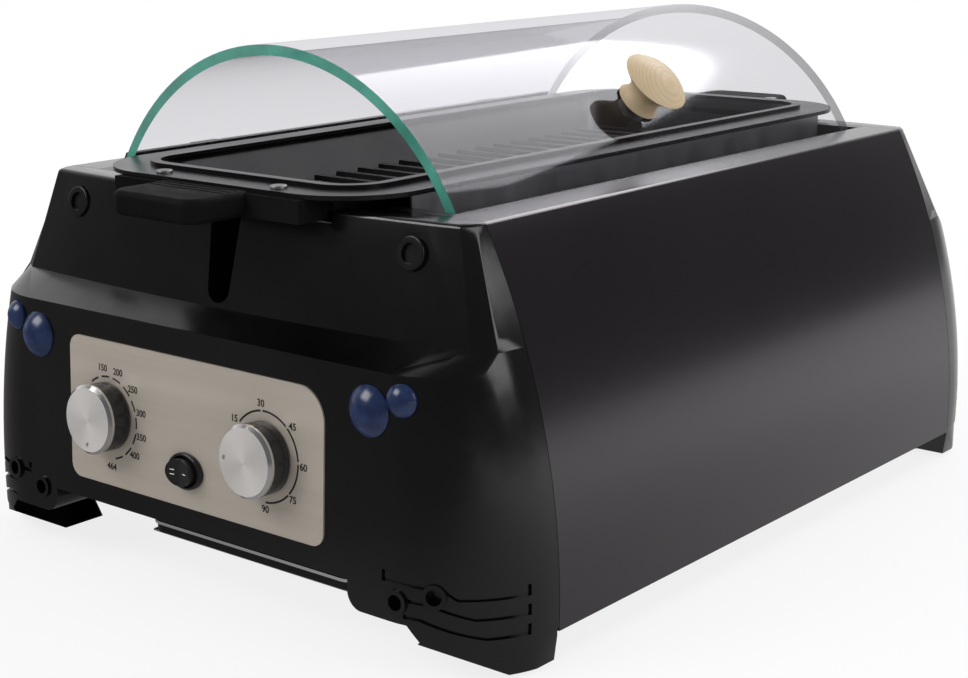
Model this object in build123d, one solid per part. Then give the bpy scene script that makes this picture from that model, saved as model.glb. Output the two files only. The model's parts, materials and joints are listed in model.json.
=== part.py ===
from build123d import *
import math
import os

# Rotisserie grill in millimetres: X across, Y from the control panel to the back, Z up from the floor.
# The origin is on the floor, under the middle of the body.

# Body envelope
seam_half_length = 221.0        # middle of the body to the joint between side panels and end casings
base_half_width = 209.0         # widest half width, at widest_level
widest_level = 35.0
side_arc_radius = 403.5         # curve of the side panels
body_top = 224.0
panel_bottom = 18.0
panel_gauge = 1.5
panel_seam_gap = 0.4
flange_inner_half_width = 136.0
trough_inner_half_width = 112.0 # the flange steps down into a trough under the lid's edges
trough_depth = 10.0

# Fits shared by all pieces
overrun = 3.0                   # how far a cutter passes beyond what it cuts
fit_gap = 0.3                   # between fixed neighbours
running_clearance = 0.06        # radial, shaft in bush

# End casings
casing_wall = 3.0
fascia_foot = 42.7
fascia_head = 154.3
fascia_foot_reach = 281.0
fascia_head_reach = 275.3
corner_foot_radius = 60.0       # round of the casing's corners at fascia_foot
corner_head_radius = 50.0       # and at fascia_head
fascia_corner_draft = 4.0
skirt_level_shares = (0.0, 0.33, 0.67, 1.0)
brow_level = 164.0
brow_end_reach = 250.0
brow_end_half_width = 184.0
brow_reach = 246.9
brow_half_width = 173.7
upper_top_reach = 234.8
upper_top_half_width = 157.0
upper_level_shares = (0.0, 0.5, 1.0)
upper_bow = 8.6
facet_depth = 7.0
facet_width_low = 11.3
facet_width_top = 4.2
top_round = 3.0                 # round of the casings' top edges and of the side panels' fold
handle_notch_half_width = 77.0
handle_notch_level = 217.0
pan_gap_half_width = 96.0

# Feet moulded on the casings
foot_shoulder = 20.0            # where the foot starts to narrow
foot_step_level = 27.5          # underside of the casing inside the foot
foot_inner_half_width = 118.0
foot_step_share = 0.44          # from the foot's inner side to the widest half width
foot_step_run = 7.0             # slant of the foot's inner side
foot_base_inner_share = 0.374
foot_base_side_gap = 3.0        # from the widest half width in to the base
foot_base_reach = 251.0
foot_base_round = 5.0
foot_step = 0.6                 # ledge round the foot, under the shoulder
foot_inner_round = 10.0
groove_width = 2.2
groove_depth = 1.6
groove_front_levels = (49.0, 40.5, 32.0)
groove_side_levels = (44.0, 33.6, 23.0)
groove_jog_start_shares = (0.637, 0.571, 0.516)
groove_jog_end_shares = (0.714, 0.791, 0.835)
groove_start_shares = (0.286, 0.418, 0.418)
groove_end_reach = 240.0
groove_hook = 6.0
foot_ring_shares = (0.601, 0.371, -0.429, -0.147)   # on the right foot, and on the left one
foot_ring_levels = (44.7, 38.5, 48.0, 41.4)
foot_ring_radius = 6.6
foot_ring_bore = 4.2
foot_ring_proud = 1.4
foot_ring_sink = 5.0
pad_radius = 9.0
pad_proud = 2.0
pad_sink = 3.0
pad_side_gap = 33.0             # from the widest half width in to the pad's middle
pad_place_reach = 232.0

# Spit
spit_level = 175.0
spit_slot_low_radius = 8.5
spit_slot_top_half_width = 12.5
spit_liner_wall = 2.5
cradle_gauge = 1.5
cradle_length = 7.0
cradle_height = 20.0

# Control plate
control_level = 97.2
plate_half_width = 101.6
plate_half_height = 42.0
plate_gauge = 1.0
plate_corner_radius = 8.0
plate_large_corner_radius = 18.0

# Knobs, thermostat and timer
temp_knob_place = -68.1
timer_knob_place = 58.6
knob_level = 96.0
knob_radius = 20.0
knob_body_radius = 19.7
knob_lift = 1.0
knob_body_top = 13.2
knob_cap_top = 16.4
knob_cap_chamfer = 1.7
knob_recess_radius = 9.6
knob_recess_depth = 4.0
pointer_radius = 1.4
pointer_depth = 0.8
pointer_share = 0.72
temp_pointer_angle = -90.0
timer_pointer_angle = 180.0
spindle_radius = 3.0
spindle_top = 11.0
spindle_tail = 18.0
spindle_flat_share = 0.5
bush_radius = 4.8
nut_flats = 13.0
nut_sides = 6
nut_height = 2.2
thermostat_radius = 17.0
thermostat_depth = 24.0
timer_radius = 23.0
timer_depth = 34.0
tag_width = 6.0
tag_gauge = 0.8
tag_length = 9.0

# Rocker switch
switch_place = -2.4
switch_level = 76.4
switch_bezel_half_width = 13.4
switch_bezel_half_height = 10.4
switch_bezel_height = 2.8
switch_barrel_half_width = 12.2
switch_barrel_half_height = 9.6
switch_barrel_depth = 20.0
switch_cavity_half_width = 11.2
switch_cavity_half_height = 8.9
switch_cavity_depth = 8.0
rocker_half_width = 9.7
rocker_half_height = 7.8
rocker_pivot_out = -1.0
rocker_low = -4.0
rocker_end_out = 8.4
rocker_mid_out = 6.6
rocker_foot_half_width = 5.0
rocker_pin_radius = 1.2
rocker_pin_half_length = 9.3

# Lenses
lens_large_side_gap = 77.1      # from the widest half width in to the lens's middle
lens_large_level = 133.6
lens_large_radius = 13.4
lens_large_height = 7.0
lens_small_side_gap = 56.4
lens_small_level = 142.0
lens_small_radius = 8.6
lens_small_height = 5.4
lens_sink = 2.2
lens_rim = 0.6
lens_stud_radius = 2.5
lens_stud_length = 6.5
clip_radius = 4.6
clip_gauge = 0.8
clip_lift = 4.5

# Screw caps and casing screws
cap_half_spacing = 131.0
cap_level = 207.5
cap_radius = 9.0
cap_height = 4.6
cap_sink = 2.4
cap_dish_radius = 5.5
cap_dish_depth = 1.8
boss_radius = 6.0
screw_radius = 2.0
screw_head_radius = 4.0
screw_head_height = 2.4
screw_seat_depth = 6.0
screw_pass = 6.0

# Bulkheads, chamber, base pan
bulkhead_inner = 212.0          # inner face of each bulkhead, from the middle
bulkhead_gauge = 1.5
bulkhead_window_half_width = 96.0
bulkhead_window_level = 206.0
chamber_half_width = 104.0
chamber_gauge = 1.2
chamber_bottom = 43.0
base_level = 12.0
base_gauge = 1.2
base_flange_height = 16.0
base_side_gap = 22.0
base_tongue_reach = 238.0

# Grill plate
rim_top = 233.5
rim_gauge = 2.5
rim_half_width = 109.0
rim_half_length = 258.0
rim_corner_radius = 48.0
bead_inset = 21.0
bead_width = 6.0
bead_height = 2.2
pan_mouth_half_width = 86.0
pan_mouth_half_length = 230.0
pan_mouth_radius = 30.0
pan_floor_half_width = 68.0
pan_floor_half_length = 197.0
pan_floor_radius = 20.0
pan_floor = 206.0
pan_wall = 3.0
rib_count = 20
rib_pitch = 19.6
rib_width = 9.0
rib_top_width = 5.0
rib_height = 7.0
rib_end_gap = 2.0
drain_reach = 221.0
drain_half_length = 57.0
drain_width = 4.0

# Plate handles and rivets
handle_base_half_width = 72.0
handle_base_back = 240.0
handle_base_front = 262.0
handle_base_height = 12.5
grip_half_width = 33.5
grip_reach = 300.0
grip_back = 258.0
grip_top = 232.0
grip_bottom = 218.5
grip_corner_radius = 11.0
grip_edge_radius = 3.5
grip_line_reaches = (264.0, 269.0, 274.0)
grip_line_width = 1.6
grip_line_depth = 1.0
grip_line_margin = 5.0
rivet_half_spacing = 45.0
rivet_reach = 249.0
rivet_radius = 2.4
rivet_head_radius = 4.6
rivet_head_height = 1.6

# Drip tray
tray_half_width = 84.0
tray_front = 240.0
tray_back = 205.0
tray_lift = 0.3
tray_height = 7.0
tray_wall = 1.2
tray_corner_radius = 10.0
tray_rim_proud = 1.4
tray_rim_height = 1.8
tray_window_gap = 8.0
tray_side_gap = 0.5
runner_gauge = 1.5
runner_height = 9.0
runner_foot = 10.0

# Heating elements
element_radius = 3.25
element_half_spacing = 90.0
element_low = 82.0
element_high = 152.0
element_front = 188.0
element_tail = 16.0
bracket_reaches = (-120.0, 110.0)
bracket_gauge = 1.2
bracket_height = 16.0
bracket_overhang = 6.0

# Spit motor and its socket
motor_radius = 26.0
motor_depth = 20.0
motor_bracket_half_width = 36.0
motor_bracket_half_height = 20.0
motor_bracket_gauge = 1.5
motor_standoff = 3.0
socket_radius = 8.0
socket_bore_radius = 5.0
socket_bore_length = 20.0
socket_reach = 26.0
socket_shaft_radius = 4.0
socket_shaft_length = 12.0
socket_hole_gap = 1.5

# Cord gland and terminal block
gland_offset = 120.0
gland_level = 76.0
gland_radius = 6.5
gland_bore_radius = 3.6
gland_flange_radius = 9.5
gland_flange_height = 2.5
terminal_length = 42.0
terminal_height = 16.0
terminal_depth = 14.0
terminal_screw_radius = 2.2
terminal_ways = 3

# Glass lid
arch_level = 154.9              # centre of the arch
arch_inner_radius = 142.0
glass_gauge = 6.0
lid_end_gap = 13.5              # from the side panels' ends in to the lid's
lid_half_angle = 62.5
lid_knob_angle = 45.0
lid_knob_place = -7.0
lid_knob_radius = 21.5
lid_knob_height = 27.5
lid_knob_foot_radius = 13.8
lid_knob_neck_radius = 11.0
lid_knob_shoulder_share = 0.46
lid_knob_crown_share = 0.69
washer_radius = 9.0
washer_gauge = 1.0
lid_screw_radius = 2.5
lid_screw_length = 24.0
lid_screw_head_radius = 5.0
lid_screw_head_height = 2.6
rest_strip_width = 9.0

# Lid hinge
channel_grip = 10.0
channel_wall = 1.6
channel_slip = 0.1
channel_end_gap = 0.5
hinge_offset = 4.7              # pin axis outside the glass
hinge_angle = 61.0
knuckle_radius = 3.4
knuckle_length = 20.0
pin_radius = 1.3
pin_length = 24.0
ear_reach = 150.0               # inner face of each hinge ear, from the middle
ear_gap = 0.5
ear_length = 6.0
ear_radius = 2.6
ear_arm_width = 9.0
ear_foot_width = 18.0
ear_foot_height = 1.2


def between(low, high, share):
    return low + (high - low) * share


def foot_place(share):
    """Half width on the foot, from its inner side outward. A share below zero gives the left foot."""
    return math.copysign(between(foot_inner_half_width, base_half_width, abs(share)), share)


def side_half_width(level, inset=0):
    """Half width of the body at a level, or of the surface that lies inset inside it."""
    drop = level - widest_level
    return base_half_width - side_arc_radius + math.sqrt((side_arc_radius - inset) ** 2 - drop ** 2)


def post(radius, low, high):
    """Round bar on the local Z axis."""
    return Pos(0, 0, low) * Cylinder(radius, high - low, align=(Align.CENTER, Align.CENTER, Align.MIN))


def oval(half_width, half_height, low, high):
    """Oval bar on the local Z axis."""
    return extrude(Pos(0, 0, low) * Ellipse(half_width, half_height), high - low)


def switch_barrel(growth, low, high):
    return oval(switch_barrel_half_width + growth, switch_barrel_half_height + growth, low, high)


def bar_y(x, level, radius, start, end):
    """Round bar along Y."""
    return Plane((x, start, level), x_dir=(1, 0, 0), z_dir=(0, 1, 0)) * post(radius, 0, end - start)


def block(low, high):
    """Box between two corners."""
    sizes = [b - a for a, b in zip(low, high)]
    return Pos(*low) * Box(*sizes, align=(Align.MIN, Align.MIN, Align.MIN))


def prism_y(face, start, end):
    """A face drawn in X and Z, swept along Y."""
    return Plane((0, end, 0), x_dir=(1, 0, 0), z_dir=(0, -1, 0)) * extrude(face, end - start)


def prism_x(face, start, end):
    """A face drawn in Y and Z, swept along X."""
    return Plane((start, 0, 0), x_dir=(0, 1, 0), z_dir=(1, 0, 0)) * extrude(face, end - start)


def face_of(*edges):
    return make_face([edge for part in edges for edge in part.edges()])


def round_corner(face, x, level, radius):
    """A face with its corner nearest a place rounded."""
    return fillet(face.vertices().sort_by_distance((x, level, 0))[0], radius)


def both_sides(shape):
    """A piece and its twin across the middle plane."""
    return [shape, mirror(shape, Plane.YZ)]


# Frame of the fascia: local X across, local Y up the face, local Z out of it.
fascia_lean = math.atan2(fascia_foot_reach - fascia_head_reach, fascia_head - fascia_foot)


def fascia_reach(level):
    share = (level - fascia_foot) / (fascia_head - fascia_foot)
    return between(fascia_foot_reach, fascia_head_reach, share)


def corner_radius(level):
    share = (level - fascia_foot) / (fascia_head - fascia_foot)
    return between(corner_foot_radius, corner_head_radius, share)


fascia_plane = Plane(
    (0, -fascia_reach(control_level), control_level),
    x_dir=(1, 0, 0),
    z_dir=(0, -math.cos(fascia_lean), math.sin(fascia_lean)),
)


def on_fascia(x, level):
    return fascia_plane.location * Pos(x, (level - control_level) / math.cos(fascia_lean), 0)


def on_skirt(x, level):
    """Seat on the fascia, turned with the rounded corner where x lies on it."""
    depth = fascia_reach(level) - seam_half_length
    corner = side_half_width(level) - fascia_corner_draft
    half_turn = (math.pi / 2 - math.atan2(fascia_corner_draft, depth)) / 2
    radius = corner_radius(level)
    flat = corner - radius * math.tan(half_turn)
    turn = math.asin(max(0, abs(x) - flat) / radius)
    y = radius * (1 - math.cos(turn)) - fascia_reach(level)
    turn = math.copysign(turn, x)
    normal = (math.sin(turn), -math.cos(turn) * math.cos(fascia_lean), math.sin(fascia_lean))
    return Plane((x, y, level), x_dir=(math.cos(turn), math.sin(turn), 0), z_dir=normal).location


# Frame of the upper panel at one of the screw caps.
upper_lean = math.atan2(brow_reach - upper_top_reach, body_top - brow_level)


def upper_reach(x, level):
    share = (level - brow_level) / (body_top - brow_level)
    half = between(brow_half_width, upper_top_half_width, share)
    return between(brow_reach, upper_top_reach, share) + upper_bow * (1 - (x / half) ** 2)


def on_upper(x, level):
    normal = (0, -math.cos(upper_lean), math.sin(upper_lean))
    return Plane((x, -upper_reach(x, level), level), x_dir=(1, 0, 0), z_dir=normal).location


# Casing envelope
def fascia_outline(level, inset, back):
    seam = side_half_width(level, inset)
    corner = seam - fascia_corner_draft
    front = inset - fascia_reach(level)
    bend = FilletPolyline(
        (-seam, back), (-corner, front), (corner, front), (seam, back),
        radius=corner_radius(level) - inset,
    )
    return Pos(0, 0, level) * face_of(bend, Line((seam, back), (-seam, back)))


def upper_outline(level, inset, back):
    share = (level - brow_level) / (body_top - brow_level)
    seam = side_half_width(level, inset)
    front_x = between(brow_half_width, upper_top_half_width, share) - inset
    front_y = inset - between(brow_reach, upper_top_reach, share)
    facet_x = front_x + between(facet_width_low, facet_width_top, share)
    facet_y = front_y + facet_depth
    left = Polyline((-seam, back), (-facet_x, facet_y), (-front_x, front_y))
    bow = ThreePointArc((-front_x, front_y), (0, front_y - upper_bow), (front_x, front_y))
    right = Polyline((front_x, front_y), (facet_x, facet_y), (seam, back), (-seam, back))
    return Pos(0, 0, level) * face_of(left, bow, right)


def casing_envelope(inset, back, low):
    head = fascia_head - inset
    brow = brow_level - inset
    skirt = loft([
        fascia_outline(between(low, head, share), inset, back) for share in skirt_level_shares
    ])
    shelf = loft([fascia_outline(head, inset, back), upper_outline(brow, inset, back)], ruled=True)
    upper = loft([
        upper_outline(between(brow, body_top - inset, share), inset, back)
        for share in upper_level_shares
    ])
    return skirt + shelf + upper


def brow_ends(back):
    """Ends of the brow, where the rounded corners run on up to the upper panel."""
    corner = loft([fascia_outline(fascia_head, 0, back), fascia_outline(brow_level, 0, back)], ruled=True)
    side = make_face(Polyline(
        (-brow_end_reach, fascia_head), (facet_depth - brow_reach, brow_level), (back, brow_level),
        (back, fascia_head), close=True,
    ))
    return [corner & cutter for cutter in both_sides(prism_x(side, brow_end_half_width, base_half_width))]


foot_step_half_width = foot_place(foot_step_share)
foot_base_outer = base_half_width - foot_base_side_gap
pad_half_place = base_half_width - pad_side_gap


def foot_base():
    """The block under the right front corner that narrows down to the floor."""
    back = -seam_half_length - panel_seam_gap - foot_step

    def section(level, inner, reach, outer):
        bend = FilletPolyline((inner, -reach), (outer, -reach), (outer, back), radius=foot_base_round)
        rest = Polyline((outer, back), (inner, back), (inner, -reach))
        return Pos(0, 0, level) * face_of(bend, rest)

    bottom = section(pad_proud, foot_place(foot_base_inner_share), foot_base_reach, foot_base_outer)
    top = section(foot_shoulder, foot_step_half_width + foot_step_run, fascia_reach(foot_shoulder),
                  side_half_width(foot_shoulder))
    outline = Pos(0, 0, -foot_shoulder) * fascia_outline(foot_shoulder, foot_step, back)
    return loft([bottom, top], ruled=True) & extrude(outline, foot_shoulder)


def foot_step_outline(wall):
    """Front view of the room under the casing inside the right foot, grown by wall."""
    low = foot_shoulder - overrun
    top = foot_step_level + wall
    slant = foot_step_run / (foot_step_level - foot_shoulder)

    def inner_side(level):
        return (foot_step_half_width + wall + slant * (foot_step_level - level), level)

    return make_face(Polyline(
        (foot_inner_half_width, low), inner_side(low), inner_side(top), (foot_inner_half_width, top),
        close=True,
    ))


def spit_slot(wall):
    """Front view of the tapered spit slot, grown by wall."""
    low = spit_slot_low_radius + wall
    top = spit_slot_top_half_width + wall
    high = body_top + overrun
    arc = ThreePointArc((-low, spit_level), (0, spit_level - low), (low, spit_level))
    sides = Polyline((low, spit_level), (top, high), (-top, high), (-low, spit_level))
    return face_of(arc, sides)


def foot_grooves(skin):
    """Three grooves that wrap the right foot's corner, cut into the outer skin."""
    half = groove_width / 2
    outer = base_half_width + overrun
    deep = -fascia_foot_reach - overrun
    hook_inner = foot_base_outer - fascia_corner_draft
    rows = zip(groove_front_levels, groove_side_levels, groove_start_shares, groove_jog_start_shares,
               groove_jog_end_shares)
    cutters = []
    for front_level, side_level, start, jog_start, jog_end in rows:
        centre = [(foot_place(start), front_level), (foot_place(jog_start), front_level),
                  (foot_place(jog_end), side_level), (outer, side_level)]
        lower = [(x, level - half) for x, level in centre]
        upper = [(x, level + half) for x, level in reversed(centre)]
        strip = make_face(Polyline(*lower, *upper, close=True))
        cutters.append(prism_y(strip, deep, -groove_end_reach))
        low = side_level - half
        cutters.append(block((hook_inner, -groove_end_reach - groove_width, low),
                             (outer, -groove_end_reach, low + groove_hook)))
    start = foot_place(groove_start_shares[0])
    low = groove_front_levels[0] - half
    cutters.append(block((start - groove_width, deep, low), (start, -seam_half_length, low + groove_hook)))
    return [skin & cutter for cutter in cutters]


def end_casing(with_spit_slot):
    """Casing shell at the front end, with what both ends share."""
    back = -seam_half_length - panel_seam_gap
    deep = -fascia_foot_reach - corner_foot_radius
    above = body_top + overrun
    outer = casing_envelope(0, back, foot_shoulder)
    for end in brow_ends(back):
        outer += end
    top_edges = outer.edges().filter_by_position(Axis.Z, body_top, body_top)
    round_edges = [edge for edge in top_edges if edge.center().Y < back - fit_gap]
    outer = fillet(round_edges, top_round)
    shell = outer - casing_envelope(casing_wall, back + overrun, foot_shoulder + casing_wall)

    shell -= block((-foot_inner_half_width, deep, 0), (foot_inner_half_width, 0, fascia_foot))
    foot_side = block((foot_inner_half_width, deep, foot_step_level),
                      (foot_inner_half_width + casing_wall, back, fascia_foot + casing_wall))
    foot_corner = block((foot_inner_half_width, deep, foot_step_level),
                        (foot_inner_half_width + foot_inner_round, back, foot_step_level + foot_inner_round))
    round_bar = bar_y(foot_inner_half_width + foot_inner_round, foot_step_level + foot_inner_round,
                      foot_inner_round, deep, back)
    step_floor = prism_y(foot_step_outline(casing_wall), deep, back)
    for side in both_sides(foot_side) + both_sides(foot_corner) + both_sides(step_floor):
        shell += outer & side
    for corner in both_sides(foot_corner - round_bar):
        shell -= corner
    for under in both_sides(prism_y(foot_step_outline(0), deep, 0)):
        shell -= under
    for base in both_sides(foot_base()):
        shell += base

    if with_spit_slot:
        liner = prism_y(spit_slot(spit_liner_wall), deep, -bulkhead_inner - bulkhead_gauge - fit_gap)
        shell += outer & liner
        shell -= prism_y(spit_slot(0), deep, 0)
    shell -= block((-handle_notch_half_width, deep, handle_notch_level),
                   (handle_notch_half_width, 0, above))
    shell -= block((-pan_gap_half_width, top_round - upper_top_reach, handle_notch_level),
                   (pan_gap_half_width, 0, above))

    for x in (-cap_half_spacing, cap_half_spacing):
        start = -upper_reach(x, cap_level)
        end = -bulkhead_inner - bulkhead_gauge
        shell += outer & bar_y(x, cap_level, boss_radius, start, end)
        shell -= on_upper(x, cap_level) * post(cap_radius + fit_gap, -cap_sink, cap_height)
        shell -= bar_y(x, cap_level, screw_radius + fit_gap, start, end + overrun)
        shell -= bar_y(x, cap_level, screw_head_radius + fit_gap, start, start + screw_seat_depth)

    skin = outer - casing_envelope(groove_depth, back + overrun, foot_shoulder - overrun)
    for groove in foot_grooves(skin):
        for cutter in both_sides(groove):
            shell -= cutter
    for share, level in zip(foot_ring_shares, foot_ring_levels):
        seat = on_skirt(foot_place(share), level)
        shell += seat * post(foot_ring_radius, -foot_ring_sink - casing_wall, foot_ring_proud)
        shell -= seat * post(foot_ring_bore, -foot_ring_sink, foot_ring_proud + overrun)
    for x in (-pad_half_place, pad_half_place):
        shell -= Pos(x, -pad_place_reach, 0) * post(pad_radius + fit_gap, 0, pad_proud + pad_sink)
    return shell


to_rear = Rot(0, 0, 180)
knob_places = (temp_knob_place, timer_knob_place)
lens_large_place = base_half_width - lens_large_side_gap
lens_small_place = base_half_width - lens_small_side_gap
lens_rows = {
    "large": (lens_large_place, lens_large_level, lens_large_radius, lens_large_height),
    "small": (lens_small_place, lens_small_level, lens_small_radius, lens_small_height),
}


def front_casing():
    shell = end_casing(True)
    through = -casing_wall - overrun
    for x in knob_places:
        shell -= on_fascia(x, knob_level) * post(bush_radius + fit_gap, through, overrun)
    shell -= on_fascia(switch_place, switch_level) * switch_barrel(fit_gap, through, overrun)
    for half_spacing, level, radius, height in lens_rows.values():
        for x in (-half_spacing, half_spacing):
            seat = on_skirt(x, level)
            shell -= seat * post(radius + fit_gap, -lens_sink, height)
            shell -= seat * post(lens_stud_radius + fit_gap, through - clip_lift, 0)
    return shell


def rear_casing():
    shell = end_casing(False)
    hole = post(gland_radius + fit_gap, -casing_wall - overrun, overrun)
    return to_rear * (shell - on_fascia(gland_offset, gland_level) * hole)


# Side panels: curved sheet, a flange turned in at the top and a trough stepped down from it
def side_panel():
    middle = (panel_bottom + body_top) / 2
    inner_top = body_top - panel_gauge
    inner_middle = (panel_bottom + inner_top) / 2
    outside = ThreePointArc(
        (side_half_width(panel_bottom), panel_bottom),
        (side_half_width(middle), middle),
        (side_half_width(body_top), body_top),
    )
    flange = Polyline(
        (side_half_width(body_top), body_top),
        (flange_inner_half_width, body_top),
        (flange_inner_half_width, inner_top),
        (side_half_width(inner_top, panel_gauge), inner_top),
    )
    inside = ThreePointArc(
        (side_half_width(inner_top, panel_gauge), inner_top),
        (side_half_width(inner_middle, panel_gauge), inner_middle),
        (side_half_width(panel_bottom, panel_gauge), panel_bottom),
    )
    foot = Line(
        (side_half_width(panel_bottom, panel_gauge), panel_bottom),
        (side_half_width(panel_bottom), panel_bottom),
    )
    section = face_of(outside, flange, inside, foot)
    section = round_corner(section, side_half_width(body_top), body_top, top_round)
    fold = side_half_width(inner_top, panel_gauge)
    section = round_corner(section, fold, inner_top, top_round - panel_gauge)
    panel = prism_y(section, -seam_half_length, seam_half_length)
    length = bulkhead_inner - fit_gap
    trough_low = body_top - trough_depth - panel_gauge
    outer_half = flange_inner_half_width + panel_gauge
    step = block((flange_inner_half_width, -length, trough_low), (outer_half, length, inner_top))
    floor = block((trough_inner_half_width, -length, trough_low),
                  (outer_half, length, trough_low + panel_gauge))
    return panel + step + floor


# Bulkheads stand across the body at both ends of the chamber
def bulkhead_sheet():
    """Sheet at the front end, with the windows that both ends share."""
    inset = panel_gauge + fit_gap
    top = body_top - panel_gauge - fit_gap
    bottom = base_level + base_gauge
    low = bottom + base_flange_height + fit_gap
    middle = (low + top) / 2
    low_half = side_half_width(low, inset)
    foot_half = low_half - base_gauge - base_side_gap - fit_gap
    right = ThreePointArc((low_half, low), (side_half_width(middle, inset), middle),
                          (side_half_width(top, inset), top))
    left = ThreePointArc((-side_half_width(top, inset), top), (-side_half_width(middle, inset), middle),
                         (-low_half, low))
    outline = face_of(
        right,
        Line((side_half_width(top, inset), top), (-side_half_width(top, inset), top)),
        left,
        Polyline((-low_half, low), (-foot_half, low), (-foot_half, bottom), (foot_half, bottom),
                 (foot_half, low), (low_half, low)),
    )
    for x in (-side_half_width(top, inset), side_half_width(top, inset)):
        outline = round_corner(outline, x, top, top_round - inset)
    sheet = prism_y(outline, -bulkhead_inner - bulkhead_gauge, -bulkhead_inner)
    sheet -= block((-bulkhead_window_half_width, -seam_half_length, bulkhead_window_level),
                   (bulkhead_window_half_width, 0, body_top + overrun))
    shelf_end = flange_inner_half_width - fit_gap
    edge = block((bulkhead_window_half_width, -bulkhead_inner - bulkhead_gauge, bulkhead_window_level),
                 (shelf_end, -bulkhead_inner, body_top))
    shelf = block((bulkhead_window_half_width, -seam_half_length, body_top - bulkhead_gauge),
                  (shelf_end, -bulkhead_inner, body_top))
    for side in both_sides(edge + shelf):
        sheet += side
    for x in (-cap_half_spacing, cap_half_spacing):
        sheet -= bar_y(x, cap_level, screw_radius + running_clearance, -seam_half_length, 0)
    return sheet


def front_bulkhead():
    sheet = bulkhead_sheet()
    half = runner_inner + runner_gauge + runner_foot + fit_gap
    high = tray_bottom + tray_height + tray_window_gap
    sheet -= block((-half, -seam_half_length, 0), (half, 0, high))
    return sheet - prism_y(spit_slot(cradle_gauge + fit_gap), -seam_half_length, 0)


def rear_bulkhead():
    sheet = bulkhead_sheet()
    sheet -= bar_y(0, spit_level, socket_radius + socket_hole_gap, -seam_half_length, 0)
    for x in (-element_half_spacing, element_half_spacing):
        for level in (element_low, element_high):
            sheet -= bar_y(x, level, element_radius + running_clearance, -seam_half_length, 0)
    return to_rear * sheet


def spit_cradle():
    """Steel saddle that carries the spit behind the casing's slot."""
    end = -bulkhead_inner + cradle_length
    start = -bulkhead_inner - bulkhead_gauge
    saddle = prism_y(spit_slot(cradle_gauge), start, end)
    saddle -= prism_y(spit_slot(0), start - overrun, end + overrun)
    above = spit_level + cradle_height
    return saddle - block((-chamber_half_width, start, above),
                          (chamber_half_width, end, body_top + cradle_height))


def chamber_wall():
    return block((chamber_half_width, -bulkhead_inner + fit_gap, chamber_bottom),
                 (chamber_half_width + chamber_gauge, bulkhead_inner - fit_gap, rim_top - rim_gauge))


def base_pan():
    half = side_half_width(panel_bottom, panel_gauge) - base_side_gap
    length = bulkhead_inner + bulkhead_gauge
    floor = block((-half, -length, base_level), (half, length, base_level + base_gauge))
    flange = block((half - base_gauge, -length, base_level),
                   (half, length, base_level + base_gauge + base_flange_height))
    for side in both_sides(flange):
        floor += side
    return floor + block((-tray_half_width, -base_tongue_reach, base_level),
                         (tray_half_width, 0, base_level + base_gauge))


# Grill plate: rim sheet, bead, recessed pan with ribs, drain slots
def rounded_face(half_width, half_length, radius, level):
    return Pos(0, 0, level) * RectangleRounded(2 * half_width, 2 * half_length, radius)


def grill_plate():
    rim_low = rim_top - rim_gauge
    rim = extrude(rounded_face(rim_half_width, rim_half_length, rim_corner_radius, rim_low), rim_gauge)
    bead_outer = rounded_face(rim_half_width - bead_inset, rim_half_length - bead_inset,
                              rim_corner_radius - bead_inset, rim_top)
    bead_inner = rounded_face(rim_half_width - bead_inset - bead_width,
                              rim_half_length - bead_inset - bead_width,
                              rim_corner_radius - bead_inset - bead_width, rim_top)
    plate = rim + extrude(bead_outer - bead_inner, bead_height)
    skin_low = pan_floor - pan_wall
    skin = loft([
        rounded_face(pan_floor_half_width + pan_wall, pan_floor_half_length + pan_wall,
                     pan_floor_radius + pan_wall, skin_low),
        rounded_face(pan_mouth_half_width + pan_wall, pan_mouth_half_length + pan_wall,
                     pan_mouth_radius + pan_wall, rim_top),
    ])
    hollow = loft([
        rounded_face(pan_floor_half_width, pan_floor_half_length, pan_floor_radius, pan_floor),
        rounded_face(pan_mouth_half_width, pan_mouth_half_length, pan_mouth_radius, rim_top),
    ])
    plate = plate + skin - hollow
    rib_half = pan_floor_half_width - rib_end_gap
    profile = make_face(Polyline(
        (-rib_width / 2, 0), (rib_width / 2, 0), (rib_top_width / 2, rib_height),
        (-rib_top_width / 2, rib_height), close=True,
    ))
    first = -rib_pitch * (rib_count - 1) / 2
    for index in range(rib_count):
        rib = prism_x(profile, -rib_half, rib_half)
        plate += Pos(0, first + index * rib_pitch, pan_floor) * rib
    for reach in (-drain_reach, drain_reach):
        slot = extrude(Pos(0, reach, skin_low) * SlotOverall(2 * drain_half_length, drain_width),
                       rim_top + bead_height - skin_low)
        plate -= slot
    for x in (-rivet_half_spacing, rivet_half_spacing):
        for y in (-rivet_reach, rivet_reach):
            plate -= Pos(x, y, 0) * post(rivet_radius, rim_low - overrun, rim_top + overrun)
    return plate


def grill_handle():
    """Front handle: a base riveted under the rim and a grip in front of it."""
    rim_low = rim_top - rim_gauge
    base = block((-handle_base_half_width, -handle_base_front, rim_low - handle_base_height),
                 (handle_base_half_width, -handle_base_back, rim_low))
    grip = block((-grip_half_width, -grip_reach, grip_bottom), (grip_half_width, -grip_back, grip_top))
    corners = grip.edges().filter_by(Axis.Z).sort_by(Axis.Y)[:2]
    grip = fillet(corners, grip_corner_radius)
    upright = grip.edges().filter_by(Axis.Z)
    rims = [edge for edge in grip.edges() - upright if edge.center().Y < -grip_back - grip_edge_radius]
    grip = fillet(rims, grip_edge_radius)
    for reach in grip_line_reaches:
        grip -= block((-grip_half_width + grip_line_margin, -reach, grip_top - grip_line_depth),
                      (grip_half_width - grip_line_margin, grip_line_width - reach, grip_top + overrun))
    handle = base + grip
    for x in (-rivet_half_spacing, rivet_half_spacing):
        hole_low = rim_low - handle_base_height - overrun
        handle -= Pos(x, -rivet_reach, 0) * post(rivet_radius, hole_low, rim_top)
    return handle


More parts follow.
